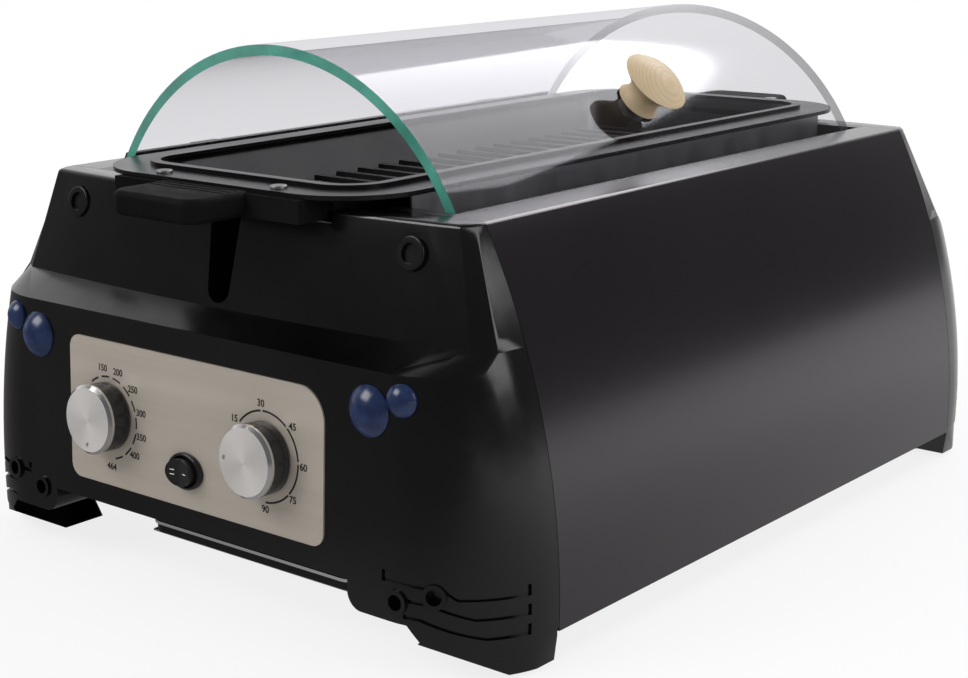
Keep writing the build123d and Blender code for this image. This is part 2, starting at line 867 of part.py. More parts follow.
def handle_rivets():
    rivets = []
    low = rim_top - rim_gauge - handle_base_height
    for x in (-rivet_half_spacing, rivet_half_spacing):
        for y in (-rivet_reach, rivet_reach):
            shank = post(rivet_radius, low, rim_top)
            dome = post(rivet_head_radius, rim_top, rim_top + rivet_head_height)
            dome = fillet(dome.edges().sort_by(Axis.Z)[-1], rivet_head_height / 2)
            tail = post(rivet_head_radius, low - rivet_head_height, low)
            rivets.append(Pos(x, y, 0) * (shank + dome + tail))
    return rivets


# Controls
def control_plate():
    sheet = Rectangle(2 * plate_half_width, 2 * plate_half_height)
    corners = sheet.vertices().sort_by(lambda v: v.X + v.Y)
    sheet = fillet(corners[:3], plate_corner_radius)
    large = sheet.vertices().sort_by(lambda v: v.X + v.Y)[-1]
    sheet = fillet(large, plate_large_corner_radius)
    plate = fascia_plane.location * extrude(sheet, plate_gauge)
    for x in knob_places:
        plate -= on_fascia(x, knob_level) * post(bush_radius + fit_gap, -overrun, overrun)
    return plate - on_fascia(switch_place, switch_level) * switch_barrel(fit_gap, -overrun, overrun)


def knob_body(x):
    low = plate_gauge + knob_lift
    body = post(knob_body_radius, low, knob_body_top)
    body -= post(knob_recess_radius, low - overrun, low + knob_recess_depth)
    body -= spindle_shape(running_clearance)
    return on_fascia(x, knob_level) * body


def knob_cap(x, pointer_angle):
    cap = post(knob_radius, knob_body_top, knob_cap_top)
    cap = chamfer(cap.edges().sort_by(Axis.Z)[-1], knob_cap_chamfer)
    dimple = Rot(0, 0, pointer_angle) * Pos(knob_radius * pointer_share, 0, 0)
    cap -= dimple * post(pointer_radius, knob_cap_top - pointer_depth, knob_cap_top + overrun)
    return on_fascia(x, knob_level) * cap


def spindle_shape(growth):
    """Control spindle with its flat, in the fascia frame."""
    rod = post(spindle_radius + growth, -spindle_tail, spindle_top + growth)
    flat_low = plate_gauge + knob_lift + knob_recess_depth
    edge = spindle_radius * spindle_flat_share + growth
    far = spindle_radius + growth + overrun
    return rod - block((edge, -far, flat_low), (far, far, spindle_top + growth + overrun))


def spindle(x):
    return on_fascia(x, knob_level) * spindle_shape(0)


def control_box(x, radius, depth):
    """Thermostat or timer behind the fascia, with its threaded bush and tags."""
    face = -casing_wall
    body = post(radius, face - depth, face) + post(bush_radius, face, plate_gauge + nut_height)
    for side in (-1, 1):
        tag = block((-tag_width / 2, -tag_gauge / 2, face - depth - tag_length),
                    (tag_width / 2, tag_gauge / 2, face - depth))
        body += Pos(0, side * radius / 2, 0) * tag
    body -= post(spindle_radius + running_clearance, -spindle_tail - fit_gap,
                 plate_gauge + nut_height + overrun)
    return on_fascia(x, knob_level) * body


def spindle_nuts():
    flat = RegularPolygon(nut_flats / 2, nut_sides, major_radius=False)
    nut = Pos(0, 0, plate_gauge) * extrude(flat - Circle(bush_radius), nut_height)
    return [on_fascia(x, knob_level) * nut for x in knob_places]


def switch_housing():
    top = plate_gauge + switch_bezel_height
    bezel = oval(switch_bezel_half_width, switch_bezel_half_height, plate_gauge, top)
    bezel = fillet(bezel.edges().sort_by(Axis.Z)[-1], switch_bezel_height / 2)
    body = bezel + switch_barrel(0, -switch_barrel_depth, plate_gauge)
    body -= oval(switch_cavity_half_width, switch_cavity_half_height, -switch_cavity_depth, top + overrun)
    for x in (-switch_cavity_half_width / 2, switch_cavity_half_width / 2):
        tag = block((-tag_gauge / 2, -tag_width / 2, -switch_barrel_depth - tag_length),
                    (tag_gauge / 2, tag_width / 2, -switch_barrel_depth))
        body += Pos(x, 0, 0) * tag
    body -= rocker_pin(running_clearance)
    return on_fascia(switch_place, switch_level) * body


def rocker_pin(growth):
    half = rocker_pin_half_length + growth
    pin = post(rocker_pin_radius + growth, -half, half)
    return Pos(0, 0, rocker_pivot_out) * Rot(90, 0, 0) * pin


def switch_rocker():
    profile = make_face(Polyline(
        (-rocker_foot_half_width, rocker_low), (rocker_foot_half_width, rocker_low),
        (rocker_half_width, rocker_pivot_out), (rocker_half_width, rocker_end_out), (0, rocker_mid_out),
        (-rocker_half_width, rocker_end_out), (-rocker_half_width, rocker_pivot_out), close=True,
    ))
    paddle = prism_y(profile, -rocker_half_height, rocker_half_height)
    paddle = paddle & oval(rocker_half_width, rocker_half_height, rocker_low, rocker_end_out)
    return on_fascia(switch_place, switch_level) * (paddle + rocker_pin(0))


# Lenses, clips, screw caps
def lens(x, row):
    level, radius, height = row[1:]
    seat = on_skirt(x, level)
    dome_radius = (radius ** 2 + (height - lens_rim) ** 2) / (2 * (height - lens_rim))
    dome = Pos(0, 0, height - dome_radius) * Sphere(dome_radius)
    dome = dome & post(radius, lens_rim, height)
    stud = post(lens_stud_radius, -lens_sink - lens_stud_length, -lens_sink)
    return seat * (post(radius, -lens_sink, lens_rim) + dome + stud)


def lens_clips():
    clips = []
    for half_spacing, level, radius, height in lens_rows.values():
        for x in (-half_spacing, half_spacing):
            ring = post(clip_radius, -clip_lift - clip_gauge, -clip_lift)
            ring -= post(lens_stud_radius, -clip_lift - clip_gauge - overrun, overrun)
            clips.append(on_skirt(x, level) * ring)
    return clips


def screw_caps():
    caps = []
    for x in (-cap_half_spacing, cap_half_spacing):
        cap = post(cap_radius, -cap_sink, cap_height - cap_sink)
        cap = fillet(cap.edges().sort_by(Axis.Z)[-1], cap_dish_depth / 2)
        cap -= post(cap_dish_radius, cap_height - cap_sink - cap_dish_depth, cap_height)
        caps.append(on_upper(x, cap_level) * cap)
    return caps


def casing_screws():
    screws = []
    for x in (-cap_half_spacing, cap_half_spacing):
        seat = -upper_reach(x, cap_level) + screw_seat_depth
        head = bar_y(x, cap_level, screw_head_radius, seat - screw_head_height, seat)
        shank = bar_y(x, cap_level, screw_radius, seat, -bulkhead_inner + screw_pass)
        screws.append(head + shank)
    return screws + [to_rear * screw for screw in screws]


def foot_pads():
    pads = []
    for x in (-pad_half_place, pad_half_place):
        for y in (-pad_place_reach, pad_place_reach):
            pads.append(Pos(x, y, 0) * post(pad_radius, 0, pad_proud + pad_sink))
    return pads


# Drip tray and its runners
tray_bottom = base_level + base_gauge + tray_lift
runner_inner = tray_half_width + tray_rim_proud + tray_side_gap


def tray_slab(growth, low, height):
    middle = (tray_back - tray_front) / 2
    half_length = (tray_back + tray_front) / 2
    plan = rounded_face(tray_half_width + growth, half_length + growth, tray_corner_radius + growth, low)
    return extrude(Pos(0, middle, 0) * plan, height)


def drip_tray():
    top = tray_bottom + tray_height
    body = tray_slab(0, tray_bottom, tray_height)
    body += tray_slab(tray_rim_proud, top - tray_rim_height, tray_rim_height)
    return body - tray_slab(-tray_wall, tray_bottom + tray_wall, tray_height)


def tray_runners():
    low = base_level + base_gauge
    guide = block((runner_inner, -bulkhead_inner, low),
                  (runner_inner + runner_gauge, tray_back, low + runner_height))
    foot = block((runner_inner, -bulkhead_inner, low),
                 (runner_inner + runner_gauge + runner_foot, tray_back, low + runner_gauge))
    return both_sides(guide + foot)


# Heating elements: hairpins along the chamber walls, tails through the rear bulkhead
def heating_element():
    tail = bulkhead_inner + bulkhead_gauge + element_tail
    bend = (element_high - element_low) / 2
    turn = -element_front + bend
    x = element_half_spacing
    lower = Line((x, tail, element_low), (x, turn, element_low))
    hairpin = ThreePointArc((x, turn, element_low), (x, turn - bend, element_low + bend),
                            (x, turn, element_high))
    upper = Line((x, turn, element_high), (x, tail, element_high))
    path = Wire([*lower.edges(), *hairpin.edges(), *upper.edges()])
    section = Plane((x, tail, element_low), x_dir=(1, 0, 0), z_dir=(0, -1, 0)) * Circle(element_radius)
    return sweep(section, path)


def element_brackets():
    brackets = []
    inner = element_half_spacing - element_radius - bracket_overhang
    for y in bracket_reaches:
        for level in (element_low, element_high):
            clip = block((inner, y, level - bracket_height / 2),
                         (chamber_half_width, y + bracket_gauge, level + bracket_height / 2))
            clip -= bar_y(element_half_spacing, level, element_radius + running_clearance,
                          y - overrun, y + overrun)
            brackets += both_sides(clip)
    return brackets


# Spit motor on the rear bulkhead
def motor_bracket():
    start = bulkhead_inner + bulkhead_gauge
    near = start + motor_standoff
    plate = block((-motor_bracket_half_width, near, spit_level - motor_bracket_half_height),
                  (motor_bracket_half_width, motor_start(), spit_level + motor_bracket_half_height))
    post_place = motor_bracket_half_width - motor_standoff
    for x in (-post_place, post_place):
        plate += bar_y(x, spit_level, motor_standoff, start, near)
    return plate - bar_y(0, spit_level, socket_radius + socket_hole_gap, start, seam_half_length + overrun)


def motor_start():
    return bulkhead_inner + bulkhead_gauge + motor_standoff + motor_bracket_gauge


def motor_body():
    start = motor_start()
    body = bar_y(0, spit_level, motor_radius, start, start + motor_depth)
    return body - bar_y(0, spit_level, socket_shaft_radius + running_clearance, start - overrun,
                        start + socket_shaft_length + fit_gap)


def drive_socket():
    start = motor_start()
    end = start - fit_gap
    barrel = bar_y(0, spit_level, socket_radius, end - socket_reach, end)
    shaft = bar_y(0, spit_level, socket_shaft_radius, end, start + socket_shaft_length)
    return barrel + shaft - bar_y(0, spit_level, socket_bore_radius, end - socket_reach - overrun,
                                  end - socket_reach + socket_bore_length)


def cord_gland():
    bush = post(gland_radius, -casing_wall - gland_flange_height, gland_flange_height)
    bush += post(gland_flange_radius, 0, gland_flange_height)
    bush -= post(gland_bore_radius, -casing_wall - gland_flange_height - overrun,
                 gland_flange_height + overrun)
    return to_rear * (on_fascia(gland_offset, gland_level) * bush)


def terminal_block():
    start = bulkhead_inner + bulkhead_gauge
    low = (-gland_offset - terminal_length / 2, start, gland_level - terminal_height / 2)
    body = block(low, (low[0] + terminal_length, start + terminal_depth, low[2] + terminal_height))
    pitch = terminal_length / terminal_ways
    for index in range(terminal_ways):
        x = low[0] + pitch * (2 * index + 1) / 2
        body -= bar_y(x, gland_level, terminal_screw_radius, start + terminal_depth / 2,
                      start + terminal_depth + overrun)
    return body


# Lid
arch_outer_radius = arch_inner_radius + glass_gauge
arch_mid_radius = arch_inner_radius + glass_gauge / 2


def on_arch(radius, angle):
    turn = math.radians(angle)
    return (radius * math.sin(turn), arch_level + radius * math.cos(turn))


def arch_strip(inner, outer, start, end):
    """Front view of a band of the arch between two angles from the crown."""
    middle = (start + end) / 2
    outside = ThreePointArc(on_arch(outer, start), on_arch(outer, middle), on_arch(outer, end))
    inside = ThreePointArc(on_arch(inner, end), on_arch(inner, middle), on_arch(inner, start))
    return face_of(outside, Line(on_arch(outer, end), on_arch(inner, end)), inside,
                   Line(on_arch(inner, start), on_arch(outer, start)))


def knob_seat():
    x, z = on_arch(arch_outer_radius, lid_knob_angle)
    turn = math.radians(lid_knob_angle)
    outward = (math.sin(turn), 0, math.cos(turn))
    return Plane((x, lid_knob_place, z), x_dir=(0, 1, 0), z_dir=outward).location


lid_half_length = seam_half_length - lid_end_gap


def lid_glass():
    band = arch_strip(arch_inner_radius, arch_outer_radius, -lid_half_angle, lid_half_angle)
    glass = prism_y(band, -lid_half_length, lid_half_length)
    return glass - knob_seat() * post(lid_screw_radius + running_clearance, -glass_gauge - overrun, overrun)


def lid_knob():
    shoulder = lid_knob_height * lid_knob_shoulder_share
    crown = lid_knob_height * lid_knob_crown_share
    low = washer_gauge
    neck = ThreePointArc(
        (lid_knob_foot_radius, low),
        (lid_knob_neck_radius, (low + shoulder) / 2),
        (lid_knob_foot_radius, shoulder),
    )
    flare = Polyline((lid_knob_foot_radius, shoulder), (lid_knob_radius, crown), (0, crown), (0, low),
                     (lid_knob_foot_radius, low))
    stem = revolve(Plane.XZ * face_of(neck, flare), Axis.Z)
    rise = lid_knob_height - crown
    dome_radius = (lid_knob_radius ** 2 + rise ** 2) / (2 * rise)
    dome = Pos(0, 0, lid_knob_height - dome_radius) * Sphere(dome_radius)
    knob = stem + (dome & post(lid_knob_radius, crown, lid_knob_height))
    return knob_seat() * (knob - post(lid_screw_radius, 0, lid_screw_length - glass_gauge))


def lid_knob_screw():
    low = -glass_gauge - washer_gauge
    screw = post(lid_screw_radius, low, lid_screw_length - glass_gauge)
    screw += post(lid_screw_head_radius, low - lid_screw_head_height, low)
    return knob_seat() * screw


def lid_knob_washers():
    outer = post(washer_radius, -washer_gauge, washer_gauge)
    inner = post(washer_radius, -glass_gauge - washer_gauge, -glass_gauge + washer_gauge)
    hole = post(lid_screw_radius, -glass_gauge - overrun, overrun)
    glass = prism_y(arch_strip(arch_inner_radius, arch_outer_radius, -lid_half_angle, lid_half_angle),
                    -lid_half_length, lid_half_length)
    return [knob_seat() * (outer - hole) - glass, knob_seat() * (inner - hole) - glass]


def rest_strip():
    x = on_arch(arch_mid_radius, lid_half_angle)[0]
    top = on_arch(arch_inner_radius, lid_half_angle)[1] - fit_gap
    return block((x - rest_strip_width / 2, -lid_half_length, body_top - trough_depth),
                 (x + rest_strip_width / 2, lid_half_length, top))


# Lid hinge along the left edge
hinge_x, hinge_level = on_arch(arch_outer_radius + hinge_offset, -hinge_angle)
channel_half_length = lid_half_length - channel_end_gap
pin_start = ear_reach + ear_length - pin_length


def hinge_channel():
    floor_angle = math.degrees(channel_wall / arch_mid_radius)
    slip_angle = math.degrees(channel_slip / arch_mid_radius)
    grip_angle = math.degrees(channel_grip / arch_mid_radius)
    end = -lid_half_angle + grip_angle
    jacket = channel_wall + channel_slip
    outer = arch_strip(arch_inner_radius - jacket, arch_outer_radius + jacket,
                       -lid_half_angle - slip_angle - floor_angle, end)
    slot = arch_strip(arch_inner_radius - channel_slip, arch_outer_radius + channel_slip,
                      -lid_half_angle - slip_angle, end + grip_angle)
    channel = prism_y(outer, -channel_half_length, channel_half_length)
    channel -= prism_y(slot, -channel_half_length - overrun, channel_half_length + overrun)
    knuckle_end = ear_reach - ear_gap
    knuckle = bar_y(hinge_x, hinge_level, knuckle_radius, knuckle_end - knuckle_length, knuckle_end)
    knuckle -= bar_y(hinge_x, hinge_level, pin_radius + running_clearance, pin_start - fit_gap, ear_reach)
    return channel + knuckle + mirror(knuckle, Plane.XZ)


def hinge_brackets():
    end = ear_reach + ear_length
    ear = bar_y(hinge_x, hinge_level, ear_radius, ear_reach, end)
    ear += block((hinge_x - ear_arm_width, ear_reach, body_top), (hinge_x, end, hinge_level))
    ear += block((hinge_x - ear_foot_width, ear_reach, body_top),
                 (hinge_x, end, body_top + ear_foot_height))
    ear -= bar_y(hinge_x, hinge_level, pin_radius, ear_reach - overrun, end + overrun)
    return [ear, mirror(ear, Plane.XZ)]


def hinge_pins():
    pin = bar_y(hinge_x, hinge_level, pin_radius, pin_start, pin_start + pin_length)
    return [pin, mirror(pin, Plane.XZ)]


pieces = {
    "front_casing": front_casing(),
    "rear_casing": rear_casing(),
    "side_panel_right": side_panel(),
    "side_panel_left": mirror(side_panel(), Plane.YZ),
    "front_bulkhead": front_bulkhead(),
    "rear_bulkhead": rear_bulkhead(),
    "spit_cradle": spit_cradle(),
    "chamber_wall_right": chamber_wall(),
    "chamber_wall_left": mirror(chamber_wall(), Plane.YZ),
    "base_pan": base_pan(),
    "foot_pads": foot_pads(),
    "grill_plate": grill_plate(),
    "grill_handle_front": grill_handle(),
    "grill_handle_rear": to_rear * grill_handle(),
    "handle_rivets": handle_rivets(),
    "control_plate": control_plate(),
    "switch_housing": switch_housing(),
    "switch_rocker": switch_rocker(),
    "spindle_nuts": spindle_nuts(),
    "front_screw_caps": screw_caps(),
    "rear_screw_caps": [to_rear * cap for cap in screw_caps()],
    "casing_screws": casing_screws(),
    "lens_clips": lens_clips(),
    "drip_tray": drip_tray(),
    "tray_runners": tray_runners(),
    "heating_element_right": heating_element(),
    "heating_element_left": mirror(heating_element(), Plane.YZ),
    "element_brackets": element_brackets(),
    "motor_bracket": motor_bracket(),
    "motor_body": motor_body(),
    "drive_socket": drive_socket(),
    "cord_gland": cord_gland(),
    "terminal_block": terminal_block(),
    "lid_glass": lid_glass(),
    "lid_knob": lid_knob(),
    "lid_knob_screw": lid_knob_screw(),
    "lid_knob_washers": lid_knob_washers(),
    "lid_rest_strip": rest_strip(),
    "hinge_channel": hinge_channel(),
    "hinge_brackets": hinge_brackets(),
    "hinge_pins": hinge_pins(),
}
knob_rows = {
    "temp": (temp_knob_place, temp_pointer_angle, "thermostat_body", thermostat_radius, thermostat_depth),
    "timer": (timer_knob_place, timer_pointer_angle, "timer_body", timer_radius, timer_depth),
}
for name, (x, pointer_angle, box, radius, depth) in knob_rows.items():
    pieces[name + "_knob_body"] = knob_body(x)
    pieces[name + "_knob_cap"] = knob_cap(x, pointer_angle)
    pieces[name + "_spindle"] = spindle(x)
    pieces[box] = control_box(x, radius, depth)
for size, row in lens_rows.items():
    pieces["lens_" + size + "_left"] = lens(-row[0], row)
    pieces["lens_" + size + "_right"] = lens(row[0], row)

os.makedirs("parts", exist_ok=True)
for node, shape in pieces.items():
    parts = shape if isinstance(shape, list) else [shape]
    solids = [solid for part in parts for solid in part.solids()]
    export_step(Compound(children=solids), f"parts/{node}.step")
print(len(pieces), "nodes")
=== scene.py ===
"""Finishes, printed marks and studio of the rotisserie grill."""

import json
import math

import bmesh
import bpy
from mathutils import Matrix, Vector


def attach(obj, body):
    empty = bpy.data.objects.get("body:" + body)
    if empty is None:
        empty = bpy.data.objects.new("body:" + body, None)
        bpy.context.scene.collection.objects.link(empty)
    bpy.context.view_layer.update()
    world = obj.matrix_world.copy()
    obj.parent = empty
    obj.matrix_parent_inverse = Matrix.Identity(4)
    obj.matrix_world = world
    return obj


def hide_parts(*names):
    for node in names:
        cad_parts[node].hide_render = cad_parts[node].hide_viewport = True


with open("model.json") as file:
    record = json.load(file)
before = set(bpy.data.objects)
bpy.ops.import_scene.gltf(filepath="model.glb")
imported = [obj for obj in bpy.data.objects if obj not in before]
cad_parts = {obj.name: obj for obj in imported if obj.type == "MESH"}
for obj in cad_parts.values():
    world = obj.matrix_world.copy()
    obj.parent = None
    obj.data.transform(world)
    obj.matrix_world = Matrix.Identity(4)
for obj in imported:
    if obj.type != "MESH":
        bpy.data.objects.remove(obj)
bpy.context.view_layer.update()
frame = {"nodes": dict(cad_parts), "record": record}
nodes = frame["nodes"]
body_of = {node: body for body, row in frame["record"]["behaviour"]["bodies"].items() for node in row}
scene = bpy.context.scene
scene.view_settings.view_transform = "Standard"
MM = 0.001

# The face of the control panel: it leans back a little, and everything on it is placed from here.
FASCIA_FOOT = 42.7
FASCIA_FOOT_REACH = 281.0
FASCIA_LEAN = math.atan2(5.7, 111.6)
KNOB_PLACES = {"temp": -68.1, "timer": 58.6}
KNOB_LEVEL = 96.0
SWITCH_PLACE = -2.4
SWITCH_LEVEL = 76.4

# Rocker: its face is a shallow V, lower in the middle.
ROCKER_HALF_WIDTH = 9.7
ROCKER_MIDDLE = 6.6
ROCKER_END = 8.4

# Printing lies as a thin film on the face that carries it.
PRINT_LIFT = 1.05
PRINT_GAUGE = 0.06
NUMBER_SIZE = 5.4
NUMBER_RADIUS = 28.6
NUMBER_BOLD = 0.12
RING_LINE = 1.1
BAR_SIZE = (3.0, 0.5)
BAR_PLACES = ((-4.8, 1.3), (-4.8, -1.3), (4.8, 0.0))

# Where a piece changes its finish: above this level the drip tray is its rim in a painted highlight, with its
# face below in painted shade, past this length a face of the lid that looks along it is one of its ends, and
# a face of a knob cap that looks ahead is spun.
TRAY_RIM_LEVEL = 18.6
LID_END = 200.0
LOOKS_ALONG = 0.7
LOOKS_AHEAD = 0.97

# Mesh clean-up: points this close are joined, shorter edges go, and faces this near to flat become one.
JOIN_GAP = 0.004
SLIVER = 0.002
FLAT_ANGLE = math.radians(0.4)


def on_fascia(across, level, out):
    """Place on the control panel's face, out millimetres in front of it."""
    reach = FASCIA_FOOT_REACH - (level - FASCIA_FOOT) * math.tan(FASCIA_LEAN)
    rise = math.sin(FASCIA_LEAN)
    run = math.cos(FASCIA_LEAN)
    place = Vector((across, -reach - out * run, level + out * rise)) * MM
    turn = Matrix(((1, 0, 0), (0, rise, -run), (0, run, rise)))
    return Matrix.Translation(place) @ turn.to_4x4()


# Shader maths and nodes


class Wire:
    """A socket that can stand in a sum: each operation on it adds a Math node."""

    def __init__(self, finish, socket):
        self.finish = finish
        self.socket = socket

    def maths(self, operation, first, second):
        return self.finish.add("ShaderNodeMath", {"operation": operation}, {0: first, 1: second})

    def __add__(self, other):
        return self.maths("ADD", self, other)

    __radd__ = __add__

    def __sub__(self, other):
        return self.maths("SUBTRACT", self, other)

    def __rsub__(self, other):
        return self.maths("SUBTRACT", other, self)

    def __mul__(self, other):
        return self.maths("MULTIPLY", self, other)

    __rmul__ = __mul__

    def __pow__(self, other):
        return self.maths("POWER", self, other)


class Finish:
    """A node material, or the world's nodes, under construction."""

    def __init__(self, name, owner=None):
        self.owner = owner or bpy.data.materials.new(name)
        self.owner.use_nodes = True
        self.tree = self.owner.node_tree
        self.tree.nodes.clear()

    def add(self, kind, settings=None, sockets=None, out=0):
        """A node of this kind. Its settings are set first, then its sockets' values and links."""
        node = self.tree.nodes.new(kind)
        for key, value in (settings or {}).items():
            setattr(node, key, value)
        for key, value in (sockets or {}).items():
            if isinstance(value, Wire):
                self.tree.links.new(value.socket, node.inputs[key])
            else:
                node.inputs[key].default_value = value
        return Wire(self, node.outputs[out]) if node.outputs else None

    def coords(self, scale=(1, 1, 1), turn=(0, 0, 0), shift=(0, 0, 0)):
        place = self.add("ShaderNodeTexCoord", out="Object")
        return self.add("ShaderNodeMapping", {}, {
            "Vector": place, "Location": shift, "Rotation": turn, "Scale": scale})

    def noise(self, scale, detail=3.0, rough=0.5, stretch=(1, 1, 1)):
        return self.add("ShaderNodeTexNoise", {}, {
            "Vector": self.coords(stretch), "Scale": scale, "Detail": detail, "Roughness": rough})

    def spread(self, value, low, high, start=0.3, end=0.7):
        """A value brought from one range into another."""
        return self.add("ShaderNodeMapRange", {}, {
            "Value": value, "From Min": start, "From Max": end, "To Min": low, "To Max": high})

    def tint(self, share, first, second):
        """A mix of two colours."""
        ends = [end if isinstance(end, Wire) else (*end, 1.0) for end in (first, second)]
        return self.add("ShaderNodeMix", {"data_type": "RGBA"}, {
            "Factor": share, "A": ends[0], "B": ends[1]}, out="Result")

    def along(self, place, way):
        """How far a place lies along a way."""
        return self.add("ShaderNodeVectorMath", {"operation": "DOT_PRODUCT"}, {0: place, 1: way}, out="Value")

    def bump(self, height, strength, distance):
        return self.add("ShaderNodeBump", {}, {"Strength": strength, "Distance": distance, "Height": height})

    def surface(self, **sockets):
        named = {key.replace("_", " "): value for key, value in sockets.items()}
        if "Base Color" in named and not isinstance(named["Base Color"], Wire):
            named["Base Color"] = (*named["Base Color"], 1.0)
        shader = self.add("ShaderNodeBsdfPrincipled", {}, named)
        return self.close(shader)

    def close(self, shader):
        self.add("ShaderNodeOutputMaterial", {}, {"Surface": shader})
        return self.owner


def moulded_plastic(name, colour, rough, gloss, grain=0.05):
    """Moulded plastic: faint flow marks, a fine skin and small scuffs in the polish."""
    finish = Finish(name)
    flow = finish.noise(9.0, 2.0)
    skin = finish.noise(900.0, 2.0)
    scuff = finish.noise(60.0, 5.0, 0.7)
    lighter = [channel * 1.5 + 0.002 for channel in colour]
    return finish.surface(
        Base_Color=finish.tint(finish.spread(flow, 0.0, 1.0), colour, lighter),
        Roughness=finish.spread(scuff, rough * 0.85, rough * 1.2) + finish.spread(flow, 0.0, 0.03),
        Normal=finish.bump(skin, grain, 0.0003),
        Specular_IOR_Level=gloss,
    )


def sheet_paint():
    """Gloss paint on the side panels, with a little orange peel and a violet cast."""
    finish = Finish("side_panel_paint")
    peel = finish.noise(160.0, 1.0)
    drift = finish.noise(5.0, 2.0)
    dust = finish.noise(420.0, 3.0, 0.6)
    return finish.surface(
        Base_Color=finish.tint(
            finish.spread(drift, 0.0, 1.0), (0.0030, 0.0020, 0.0034), (0.0046, 0.0032, 0.0050)),
        Roughness=finish.spread(dust, 0.17, 0.22) + finish.spread(drift, 0.0, 0.03),
        Normal=finish.bump(peel, 0.012, 0.0004),
        Specular_IOR_Level=0.75,
        Specular_Tint=(1.0, 0.91, 1.0, 1.0),
    )


def brushed_steel(name, colour, rough, along=(1, 1, 1), depth=0.12, metal=1.0):
    """Steel with the fine lines of a brush that ran along one way."""
    finish = Finish(name)
    lines = finish.noise(60.0, 6.0, 0.7, along)
    streaks = finish.noise(9.0, 4.0, 0.6, along)
    smudge = finish.noise(14.0, 3.0)
    darker = [channel * 0.78 for channel in colour]
    return finish.surface(
        Base_Color=finish.tint(finish.spread(lines * 0.6 + streaks * 0.4, 0.0, 1.0), darker, colour),
        Metallic=metal,
        Roughness=finish.spread(lines, rough * 0.85, rough * 1.15) + finish.spread(smudge, 0.0, 0.06),
        Normal=finish.bump(lines, depth, 0.0002),
    )


def spun_aluminium_painted_sheen(name, across):
    """Turned face of a knob cap: fine rings about the knob's own axis, and a painted sheen in light and dark
    sectors by angle.
    """
    finish = Finish(name)
    middle = on_fascia(across, KNOB_LEVEL, 0).translation
    face = finish.coords(shift=tuple(-middle))
    side, rise = [finish.add("ShaderNodeSeparateXYZ", {}, {"Vector": face}, out=axis) for axis in "XZ"]
    radius = (side * side + rise * rise) ** 0.5
    rings = finish.add("ShaderNodeMath", {"operation": "SINE"}, {0: radius * 9000.0})
    angle = finish.add("ShaderNodeMath", {"operation": "ARCTAN2"}, {0: side, 1: rise})
    # Painted sheen: lighter and darker sectors by the angle about the knob's axis, standing in for the light
    # the turned rings throw.
    painted_sheen_fan = finish.add("ShaderNodeMath", {"operation": "COSINE"}, {0: angle * 2.0 + 0.9})
    wander = finish.noise(160.0, 2.0)
    # The base colour carries the painted sheen, together with the rings and a random tone.
    tone = finish.spread(painted_sheen_fan * 0.32 + rings * 0.05 + wander * 0.3, 0.0, 1.0, -0.3, 0.6)
    return finish.surface(
        Base_Color=finish.tint(tone, (0.54, 0.515, 0.50), (0.74, 0.71, 0.69)),
        Metallic=0.3,
        Roughness=finish.spread(wander, 0.34, 0.42),
        Normal=finish.bump(rings, 0.03, 0.0001),
    )


def lens_blue():
    """Deep blue clear plastic under a polished skin."""
    finish = Finish("lens_plastic")
    cloud = finish.noise(120.0, 2.0)
    return finish.surface(
        Base_Color=finish.tint(
            finish.spread(cloud, 0.0, 1.0), (0.0080, 0.0170, 0.0580), (0.0170, 0.0360, 0.1100)),
        Roughness=finish.spread(cloud, 0.20, 0.26),
        Specular_IOR_Level=0.55,
    )


def non_stick():
    """Matt sprayed coating on the cast grill plate, with fine specks."""
    finish = Finish("non_stick_coating")
    speck = finish.noise(2600.0, 2.0, 0.7)
    cast = finish.noise(24.0, 3.0)
    light = finish.spread(speck, 0.0, 1.0, 0.62, 0.74)
    base = finish.tint(finish.spread(cast, 0.0, 1.0), (0.0060, 0.0060, 0.0064), (0.0095, 0.0095, 0.0100))
    return finish.surface(
        Base_Color=finish.tint(light, base, (0.030, 0.030, 0.031)),
        Roughness=finish.spread(cast, 0.20, 0.27) + finish.spread(speck, 0.0, 0.03),
        Normal=finish.bump(speck, 0.012, 0.0002),
        Specular_IOR_Level=0.15,
    )


def beech_wood():
    """Pale turned beech: fine straight grain, faint rings and short flecks along it."""
    finish = Finish("beech_wood")
    turn = (0.3, 0.5, 0.2)
    rings = finish.add("ShaderNodeTexWave", {"wave_type": "BANDS", "bands_direction": "X"}, {
        "Vector": finish.coords(scale=(1, 0.06, 1), turn=turn), "Scale": 260.0, "Distortion": 1.6,
        "Detail": 2.0})
    flecks = finish.add("ShaderNodeTexNoise", {}, {
        "Vector": finish.coords(scale=(1, 0.06, 1), turn=turn), "Scale": 1500.0, "Detail": 2.0})
    dark = finish.spread(flecks, 0.0, 0.6, 0.58, 0.74)
    wood = finish.tint(rings * 0.6, (0.62, 0.480, 0.310), (0.54, 0.405, 0.245))
    return finish.surface(
        Base_Color=finish.tint(dark, wood, (0.44, 0.305, 0.170)),
        Roughness=finish.spread(flecks, 0.42, 0.55),
        Normal=finish.bump(flecks, 0.06, 0.0003),
    )


def clear_glass():
    """Lid glass seen through its faces: a thin grey cast, and a mirror that grows with the slant."""
    finish = Finish("lid_glass_face")
    smear = finish.noise(7.0, 3.0, 0.6)
    through = finish.add("ShaderNodeBsdfTransparent", {}, {"Color": (0.877, 0.8725, 0.8895, 1.0)})
    mirror = finish.add("ShaderNodeBsdfGlossy", {}, {
        "Color": (0.72, 0.72, 0.75, 1.0), "Roughness": finish.spread(smear, 0.05, 0.09)})
    outside = 1 - finish.add("ShaderNodeNewGeometry", out="Backfacing")
    lit = 1 - finish.add("ShaderNodeLightPath", out="Is Shadow Ray")
    share = finish.add("ShaderNodeFresnel", {}, {"IOR": 1.45}) * outside * lit
    return finish.close(finish.add("ShaderNodeMixShader", {}, {0: share, 1: through, 2: mirror}))


